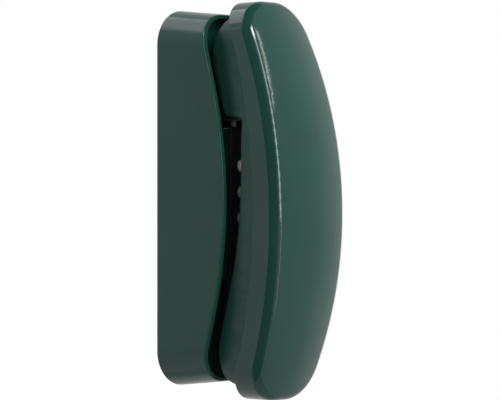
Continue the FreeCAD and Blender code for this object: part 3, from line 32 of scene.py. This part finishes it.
# Printed signs and socket wires.
SIGN_SIZE = 5.4 * MM
SIGN_SINK = 0.02 * MM
SIGNS = {"star": "*", "hash": "#"}
WIRE_COUNT = 4
WIRE_PITCH = 1.02 * MM
WIRE_LENGTH = 8.0 * MM
WIRE_RADIUS = 0.29 * MM
BASE_SOCKET_X = 9.5 * MM
BASE_SOCKET_FRONT = 17.1 * MM
BASE_SOCKET_LOW = -91.5 * MM
HANDSET_SOCKET_FRONT = 49.15 * MM
HANDSET_SOCKET_LOW = -99.6 * MM

# The camera. Azimuths are in degrees from the front towards the right.
VIEW_AZIMUTH = -47.0
VIEW_DISTANCE = 1.3225
TARGET = Vector((0, -0.039, 0))
SENSOR_WIDTH = 36.0
LENS = 180.0
SHIFT = (-0.0097, -0.0042)

# The floor and the light tent. An edge is a pair of cosines, between which the cloth fades.
FLOOR_Z = -0.9
FLOOR_HALF = 0.5
FLOOR_PAINT = (0.5, 0.5, 0.5, 1)
WHITE = (1, 1, 1, 1)
OPEN_AZIMUTH = -78.0
OPEN_EDGE = (0.62, 0.7)
WALL_EDGE = (0.76, 0.86)
TENT_LIGHT = 0.61
TENT_DIM = 0.1
GLOW_AZIMUTH = 95.0
GLOW_EDGE = (0.55, 1.0)
GLOW_LIGHT = 0.26
NEAR = 1.5
FAR = 1.8

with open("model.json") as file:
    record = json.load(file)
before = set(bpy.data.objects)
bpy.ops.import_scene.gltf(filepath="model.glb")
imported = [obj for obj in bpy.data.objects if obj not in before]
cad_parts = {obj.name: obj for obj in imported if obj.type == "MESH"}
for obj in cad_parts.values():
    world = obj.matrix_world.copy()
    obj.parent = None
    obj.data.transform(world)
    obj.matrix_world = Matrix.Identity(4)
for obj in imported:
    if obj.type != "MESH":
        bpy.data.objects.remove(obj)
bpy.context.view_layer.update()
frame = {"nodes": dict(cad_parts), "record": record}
nodes = frame["nodes"]


# ---------------------------------------------------------------- finishes

SHADER = "Principled BSDF"


class Wire:
    """A node's output, with plain arithmetic on it."""

    def __init__(self, network, socket):
        self.network = network
        self.socket = socket

    def maths(self, operation, first, second):
        return self.network.node("ShaderNodeMath", {"operation": operation},
                                 {0: first, 1: second})

    def __add__(self, other):
        return self.maths("ADD", self, other)

    def __radd__(self, other):
        return self.maths("ADD", other, self)

    def __sub__(self, other):
        return self.maths("SUBTRACT", self, other)

    def __rsub__(self, other):
        return self.maths("SUBTRACT", other, self)

    def __mul__(self, other):
        return self.maths("MULTIPLY", self, other)

    def __rmul__(self, other):
        return self.maths("MULTIPLY", other, self)

    def __gt__(self, other):
        return self.maths("GREATER_THAN", self, other)


class Network:
    """The nodes of a material or of the world, all of them made by node()."""

    def __init__(self, owner):
        owner.use_nodes = True
        self.tree = owner.node_tree

    def node(self, kind, settings, inputs, output=0):
        """A node with its settings, the values or wires of its inputs, and one output."""
        made = self.tree.nodes.new(kind)
        for setting, value in settings.items():
            setattr(made, setting, value)
        for socket, value in inputs.items():
            if isinstance(value, Wire):
                self.tree.links.new(value.socket, made.inputs[socket])
            else:
                made.inputs[socket].default_value = value
        return Wire(self, made.outputs[output])

    def remap(self, value, low, high, to_low, to_high, curve="LINEAR"):
        """A value from one range carried over to another, and held at its ends."""
        return self.node("ShaderNodeMapRange", {"interpolation_type": curve},
                         {"Value": value, "From Min": low, "From Max": high,
                          "To Min": to_low, "To Max": to_high})

    def along(self, heading, direction):
        """How nearly a heading follows a direction, as the cosine between them."""
        return self.node("ShaderNodeVectorMath", {"operation": "DOT_PRODUCT"},
                         {0: heading, 1: tuple(direction)}, "Value")

    def flatten(self, heading):
        """The level direction under a heading."""
        shadow = self.node("ShaderNodeVectorMath", {"operation": "MULTIPLY"},
                           {0: heading, 1: (1, 1, 0)})
        return self.node("ShaderNodeVectorMath", {"operation": "NORMALIZE"}, {0: shadow})

    def seen(self):
        """1 where the camera looks, straight or through glass, and 0 elsewhere."""
        return (self.node("ShaderNodeLightPath", {}, {}, "Is Camera Ray")
                + self.node("ShaderNodeLightPath", {}, {}, "Is Transmission Ray"))

    def join(self, wire, node, socket):
        self.tree.links.new(wire.socket, self.tree.nodes[node].inputs[socket])


class Finish(Network):
    """A procedural material on the Principled shader."""

    def __init__(self, name, **plain):
        self.material = bpy.data.materials.new(name)
        Network.__init__(self, self.material)
        shader = self.tree.nodes[SHADER]
        for socket, setting in plain.items():
            shader.inputs[socket.replace("_", " ")].default_value = setting
        self.place = self.node("ShaderNodeTexCoord", {}, {}, "Object")

    def noise(self, scale, detail=3.0, stretch=None):
        """Cloudy noise from 0 to 1, with so many features to the metre."""
        place = self.place
        if stretch:
            place = self.node("ShaderNodeMapping", {}, {"Vector": place, "Scale": stretch})
        return self.node("ShaderNodeTexNoise", {},
                         {"Vector": place, "Scale": scale, "Detail": detail})

    def blend(self, factor, first, second):
        """A colour between two colours."""
        return self.node("ShaderNodeMix", {"data_type": "RGBA"},
                         {"Factor": factor, 6: first, 7: second}, 2)

    def bump(self, height, strength, distance):
        return self.node("ShaderNodeBump", {},
                         {"Height": height, "Strength": strength, "Distance": distance})

    def feed(self, socket, wire):
        self.join(wire, SHADER, socket)


def colour(red, green, blue):
    """A colour given in the usual 0 to 255 steps, as linear light."""
    def linear(step):
        share = step / 255
        return share / 12.92 if share <= 0.04045 else ((share + 0.055) / 1.055) ** 2.4

    return linear(red), linear(green), linear(blue), 1.0


def gloss_plastic(name, deep, pale, rough=0.09):
    """Polished moulded plastic: faint flow marks, fine wipe marks and a trace of dust."""
    finish = Finish(name, Coat_Weight=0.0)
    flow = finish.noise(26, 2.0)
    tone = finish.remap(flow, 0.3, 0.7, 0.0, 1.0)
    speck = finish.noise(1900, 1.0) > 0.74
    body = finish.blend(tone, deep, pale)
    dusty = finish.blend(speck * 0.05, body, colour(120, 135, 130))
    finish.feed("Base Color", dusty)
    wipes = finish.noise(90, 4.0, (1.0, 1.0, 5.0))
    finish.feed("Roughness", finish.remap(wipes, 0.25, 0.75, rough * 0.75, rough * 1.35)
                + speck * 0.1)
    peel = finish.noise(420, 2.0)
    finish.feed("Normal", finish.bump(peel, 0.06, 0.15 * MM))
    return finish.material


def satin_plastic(name, deep, pale, rough=0.5):
    """Plain moulded plastic with a fine spark-eroded grain."""
    finish = Finish(name)
    tone = finish.remap(finish.noise(40, 2.0), 0.3, 0.7, 0.0, 1.0)
    finish.feed("Base Color", finish.blend(tone, deep, pale))
    grain = finish.noise(2600, 2.0)
    finish.feed("Roughness", finish.remap(grain, 0.2, 0.8, rough * 0.85, rough * 1.15))
    finish.feed("Normal", finish.bump(grain, 0.25, 0.05 * MM))
    return finish.material


def key_plastic(name):
    """White keycaps, a little yellowed, with a soft polish on their fronts."""
    finish = Finish(name)
    tone = finish.remap(finish.noise(120, 2.0), 0.3, 0.7, 0.0, 1.0)
    finish.feed("Base Color", finish.blend(tone, colour(226, 226, 220), colour(238, 238, 234)))
    rub = finish.noise(300, 3.0)
    finish.feed("Roughness", finish.remap(rub, 0.25, 0.75, 0.22, 0.36))
    finish.feed("Normal", finish.bump(rub, 0.05, 0.05 * MM))
    return finish.material


def soft_rubber(name, deep, pale):
    finish = Finish(name)
    finish.feed("Base Color", finish.blend(finish.noise(60, 3.0), deep, pale))
    grain = finish.noise(1500, 2.0)
    finish.feed("Roughness", finish.remap(grain, 0.2, 0.8, 0.6, 0.8))
    finish.feed("Normal", finish.bump(grain, 0.3, 0.08 * MM))
    return finish.material


def foam(name):
    finish = Finish(name, Roughness=0.95)
    cells = finish.node("ShaderNodeTexVoronoi", {}, {"Vector": finish.place, "Scale": 1400.0})
    finish.feed("Base Color", finish.blend(cells, colour(30, 30, 31), colour(56, 56, 58)))
    finish.feed("Normal", finish.bump(cells, 0.8, 0.2 * MM))
    return finish.material


def metal(name, deep, pale, rough, brushed=(1.0, 1.0, 14.0)):
    """Plated or drawn metal with its grain along one direction."""
    finish = Finish(name, Metallic=1.0)
    streaks = finish.noise(500, 3.0, brushed)
    finish.feed("Base Color", finish.blend(streaks, deep, pale))
    finish.feed("Roughness", finish.remap(streaks, 0.2, 0.8, rough * 0.7, rough * 1.3))
    finish.feed("Normal", finish.bump(streaks, 0.15, 0.05 * MM))
    return finish.material


def circuit_board(name):
    """Green solder resist over copper tracks on brown laminate."""
    finish = Finish(name)
    tracks = finish.node("ShaderNodeTexBrick", {"offset": 0.37},
                         {"Vector": finish.place, "Scale": 90.0, "Mortar Size": 0.06,
                          "Color1": (0, 0, 0, 1), "Color2": (0.2, 0.2, 0.2, 1),
                          "Mortar": (1, 1, 1, 1)}, "Fac")
    lacquer = finish.blend(finish.noise(70, 2.0), colour(24, 74, 44), colour(32, 92, 54))
    finish.feed("Base Color", finish.blend(tracks * 0.6, lacquer, colour(70, 130, 78)))
    finish.feed("Roughness", finish.remap(finish.noise(200, 2.0), 0.2, 0.8, 0.25, 0.4))
    finish.feed("Normal", finish.bump(tracks, 0.4, 0.04 * MM))
    return finish.material


def wound_tape(name):
    finish = Finish(name, Roughness=0.35)
    laps = finish.node("ShaderNodeTexWave", {"bands_direction": "Z"},
                       {"Vector": finish.place, "Scale": 260.0, "Distortion": 0.6})
    finish.feed("Base Color", finish.blend(laps, colour(168, 120, 26), colour(205, 160, 60)))
    finish.feed("Normal", finish.bump(laps, 0.3, 0.06 * MM))
    return finish.material


GREEN_DEEP = colour(25, 66, 58)
GREEN_PALE = colour(28, 71, 63)
BLACK_DEEP = colour(26, 27, 29)
BLACK_PALE = colour(31, 32, 34)

finishes = {
    "green_plastic": gloss_plastic("base_green", GREEN_DEEP, GREEN_PALE, 0.16),
    "handset_green": gloss_plastic("handset_green", GREEN_DEEP, GREEN_PALE, 0.08),
    "back_plastic": satin_plastic("back_green", colour(22, 48, 43), colour(26, 55, 49)),
    "black_plastic": satin_plastic("satin_black", BLACK_DEEP, BLACK_PALE),
    "white_plastic": satin_plastic("plain_white", colour(205, 203, 196), colour(222, 220, 214)),
    "key_white": key_plastic("key_white"),
    "silicone": soft_rubber("silicone_grey", colour(120, 122, 124), colour(140, 142, 144)),
    "circuit_board": circuit_board("board_lacquer"),
    "steel": metal("zinc_steel", colour(176, 178, 182), colour(204, 206, 210), 0.28),
    "socket_plastic": satin_plastic("socket_black", BLACK_DEEP, BLACK_PALE, 0.34),
    "transformer_wrap": wound_tape("yellow_tape"),
    "aluminium_can": metal("drawn_aluminium", colour(190, 192, 196), colour(216, 217, 220), 0.3),
    "brass_disc": metal("rolled_brass", colour(186, 148, 70), colour(212, 176, 98), 0.25),
    "foam": foam("foam_ring"),
}
own_finish = {"handset_inner_shell": gloss_plastic("inner_green", GREEN_DEEP, GREEN_PALE, 0.42)}
for part in frame["record"]["subparts"]:
    mesh = nodes[part["node"]].data
    mesh.materials.clear()
    mesh.materials.append(own_finish.get(part["node"], finishes[part["material_slot"]]))


# ---------------------------------------------------------------- printed and plated details

def add_piece(mesh, name, finish, body):
    """A finished mesh becomes a piece that moves with a body."""
    made = bpy.data.objects.new(name, mesh)
    bpy.context.scene.collection.objects.link(made)
    mesh.materials.clear()
    mesh.materials.append(finish)
    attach(made, body)


def printed_sign(sign, name, key):
    """A sign printed in the middle of a key's front, as thin solid letters in its face."""
    curve = bpy.data.curves.new(name, "FONT")
    curve.body = sign
    curve.size = SIGN_SIZE
    curve.extrude = SIGN_SINK
    curve.resolution_u = 3
    typed = bpy.data.objects.new(name, curve)
    bpy.context.scene.collection.objects.link(typed)
    mesh = bpy.data.meshes.new_from_object(typed)
    bpy.data.objects.remove(typed)
    low, high = (Vector(corner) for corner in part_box(key))
    spots = [vertex.co for vertex in mesh.vertices]
    middle_x = (min(p.x for p in spots) + max(p.x for p in spots)) / 2
    middle_y = (min(p.y for p in spots) + max(p.y for p in spots)) / 2
    mesh.transform(Matrix.Translation((-middle_x, -middle_y, 0)))
    mesh.transform(Matrix.Rotation(math.pi / 2, 4, "X"))
    mesh.transform(Matrix.Translation(((low.x + high.x) / 2, low.y, (low.z + high.z) / 2)))
    add_piece(mesh, name, ink, key)


def gold_wires(name, x, front, low, body):
    """The plated wires on a socket's front wall, over the ribs that carry them."""
    shape = bmesh.new()
    for number in range(WIRE_COUNT):
        aside = (number - (WIRE_COUNT - 1) / 2) * WIRE_PITCH
        centre = Vector((x + aside, -front, low + WIRE_LENGTH / 2))
        wire = bmesh.ops.create_cone(shape, cap_ends=True, segments=10, radius1=WIRE_RADIUS,
                                     radius2=WIRE_RADIUS, depth=WIRE_LENGTH)["verts"]
        bmesh.ops.translate(shape, verts=wire, vec=centre)
    mesh = bpy.data.meshes.new(name)
    shape.to_mesh(mesh)
    shape.free()
    add_piece(mesh, name, plating, body)


ink = satin_plastic("key_ink", colour(22, 24, 26), colour(34, 36, 38), 0.5)
plating = metal("gold_plating", colour(222, 178, 92), colour(240, 202, 120), 0.18)
for key in (node for node in nodes if node.startswith("key_") and node != "key_mat"):
    mark = key[len("key_"):]
    printed_sign(SIGNS.get(mark, mark), "sign_" + mark, key)
gold_wires("line_wires", -BASE_SOCKET_X, BASE_SOCKET_FRONT, BASE_SOCKET_LOW, "base")
gold_wires("cord_wires", BASE_SOCKET_X, BASE_SOCKET_FRONT, BASE_SOCKET_LOW, "base")
gold_wires("handset_wires", 0.0, HANDSET_SOCKET_FRONT, HANDSET_SOCKET_LOW, "handset")


# ---------------------------------------------------------------- room and light

def floor():
    """A pale sheet below the telephone."""
    mesh = bpy.data.meshes.new("floor")
    shape = bmesh.new()
    bmesh.ops.create_grid(shape, x_segments=1, y_segments=1, size=FLOOR_HALF)
    bmesh.ops.translate(shape, verts=shape.verts, vec=(0, 0, FLOOR_Z))
    shape.to_mesh(mesh)
    shape.free()
    made = bpy.data.objects.new("floor", mesh)
    bpy.context.scene.collection.objects.link(made)
    made.data.materials.append(pale_floor())


def pale_floor():
    """White to the eye, and matt grey paint to the light."""
    made = bpy.data.materials.new("pale_floor")
    room = Network(made)
    paint = room.node("ShaderNodeBsdfDiffuse", {}, {"Color": FLOOR_PAINT})
    white = room.node("ShaderNodeEmission", {}, {"Color": WHITE})
    shade = room.node("ShaderNodeMixShader", {}, {0: room.seen(), 1: paint, 2: white})
    room.join(shade, "Material Output", "Surface")
    return made


def sky():
    """A light tent of upright walls that glow on the right, dim overhead, below and on the
    left. It is white to the camera."""
    world = bpy.data.worlds.new("studio")
    bpy.context.scene.world = world
    tent = Network(world)
    heading = tent.node("ShaderNodeTexCoord", {}, {}, "Generated")
    bearing = tent.flatten(heading)
    wall = tent.remap(tent.along(bearing, level(OPEN_AZIMUTH)), *OPEN_EDGE, 1, 0, "SMOOTHSTEP")
    for upright in (1, -1):
        rise = tent.along(heading, (0, 0, upright))
        wall = wall * tent.remap(rise, *WALL_EDGE, 1, 0, "SMOOTHSTEP")
    glow = tent.remap(tent.along(heading, level(GLOW_AZIMUTH)), *GLOW_EDGE, 0, GLOW_LIGHT,
                      "SMOOTHSTEP")
    cloth = wall * (TENT_LIGHT - TENT_DIM) + TENT_DIM + glow
    tent.join(cloth + tent.seen() * (1.0 - cloth), "Background", "Strength")
    tent.tree.nodes["Background"].inputs["Color"].default_value = WHITE


def level(azimuth):
    """The level direction at an azimuth in degrees, from the front towards the right."""
    turn = math.radians(azimuth)
    return Vector((math.sin(turn), -math.cos(turn), 0))


def softbox(name, azimuth, elevation, distance, width, height, power, mirrored=True,
            tint=(1, 1, 1), lean=0.0):
    """A rectangular lamp that looks at the telephone from a direction in degrees. One that
    isn't mirrored gives light but no highlight, and one that leans has its top to the right."""
    lamp = bpy.data.lights.new(name, "AREA")
    lamp.shape = "RECTANGLE"
    lamp.size = width
    lamp.size_y = height
    lamp.energy = power
    lamp.color = tint
    climb = math.radians(elevation)
    out = level(azimuth) * math.cos(climb) + Vector((0, 0, math.sin(climb)))
    made = bpy.data.objects.new(name, lamp)
    made.location = out * distance
    made.rotation_mode = "QUATERNION"
    turned = Quaternion(out, -math.radians(lean))
    made.rotation_quaternion = turned @ out.to_track_quat("Z", "Y")
    made.visible_glossy = mirrored
    bpy.context.scene.collection.objects.link(made)


floor()
sky()
softbox("key_box", -8, 52, NEAR, 0.4, 0.16, 4.6)
softbox("fill_box", 50, 30, NEAR, 0.5, 0.5, 8.2, mirrored=False)
softbox("side_box", -135, 25, NEAR, 0.5, 0.5, 3.5, mirrored=False)
softbox("gap_box", -82, 8, NEAR, 0.3, 0.3, 3, mirrored=False)
softbox("right_panel", 105, 5, FAR, 0.8, 1.6, 5, tint=(1, 0.95, 0.75))
softbox("back_panel", -150, 5, FAR, 0.8, 1.6, 2.7)
softbox("back_box", -168, 47, FAR, 1.2, 0.8, 4)
softbox("front_strip", -8, 25, NEAR, 0.3, 1.5, 9.2, tint=(0.88, 1, 1))
softbox("edge_strip", 21.5, 37.5, NEAR, 0.026, 0.6, 0.48, tint=(1, 0.97, 0.85), lean=30)
softbox("low_strip", -2, -14, NEAR, 0.05, 0.8, 0.4)


# ---------------------------------------------------------------- camera

camera = bpy.data.objects.new("camera", bpy.data.cameras.new("camera"))
bpy.context.scene.collection.objects.link(camera)
bpy.context.scene.camera = camera
camera.data.sensor_width = SENSOR_WIDTH
camera.data.lens = LENS
camera.data.shift_x, camera.data.shift_y = SHIFT
camera.location = TARGET + VIEW_DISTANCE * level(VIEW_AZIMUTH)
camera.rotation_euler = (math.pi / 2, 0, math.radians(VIEW_AZIMUTH))

bpy.context.scene.view_settings.view_transform = "Standard"
